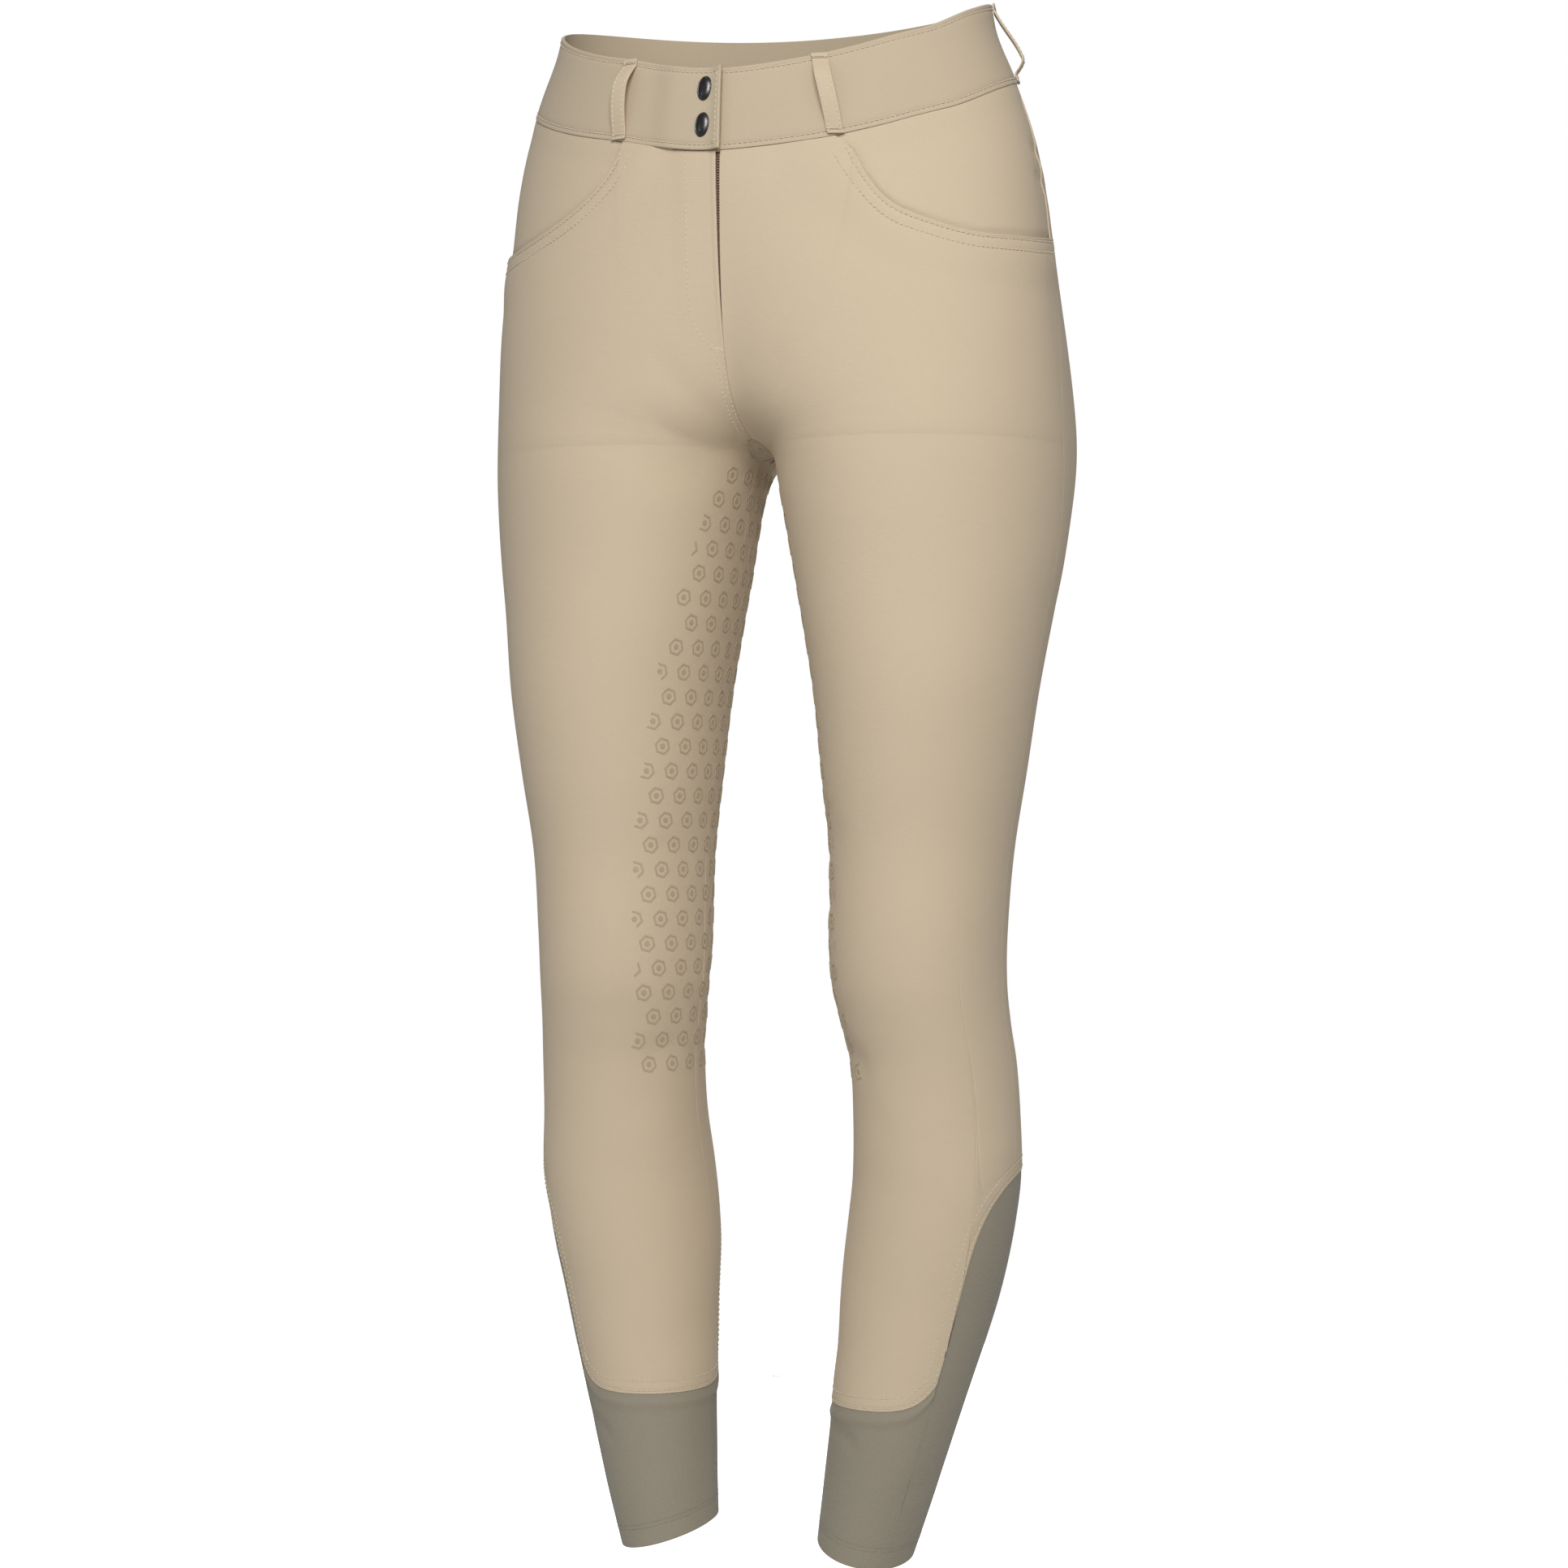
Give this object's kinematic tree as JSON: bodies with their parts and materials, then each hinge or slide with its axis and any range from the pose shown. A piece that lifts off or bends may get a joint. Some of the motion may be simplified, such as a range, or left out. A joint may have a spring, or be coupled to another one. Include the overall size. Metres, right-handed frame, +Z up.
{
  "type": "riding breeches",
  "caption": "Women's stretch riding breeches in beige with a contoured waistband, scoop pockets, a silicone grip seat and grey jersey ankle cuffs, worn form, hollow.",
  "frame": {"origin": "middle of the waist, level with the top edge of the waistband at the sides, where the wearer's waist holds it", "axes": "+Z up along the legs, -Y to the front, +X to the wearer's left"},
  "size_m": [0.37, 0.2372, 0.9643],
  "materials": {
    "cloth": "smooth matt knit stretch cloth with a faint sheen",
    "facing": "the same stretch cloth, smooth",
    "cuff_jersey": "thin grey-olive jersey, matt",
    "zip_tape": "woven zip tape, red-brown in the shade of the fly",
    "snap_metal": "dark gunmetal, domed cap, satin",
    "grip": "thin matt silicone print, a little darker than the cloth",
    "thread": "spun polyester sewing thread in the cloth's colour"
  },
  "bodies": {
    "root": {"front_right": "cloth", "back_right": "cloth", "pocket_facing_right": "facing", "waistband_right": "cloth", "belt_loop_front_right": "cloth", "belt_loop_side_right": "cloth", "cuff_right": "cuff_jersey", "front_left": "cloth", "back_left": "cloth", "pocket_facing_left": "facing", "waistband_left": "cloth", "belt_loop_front_left": "cloth", "belt_loop_side_left": "cloth", "cuff_left": "cuff_jersey", "belt_loop_back": "cloth", "fly_underlap": "zip_tape", "snap_upper": "snap_metal", "snap_lower": "snap_metal"}
  },
  "joints": []
}
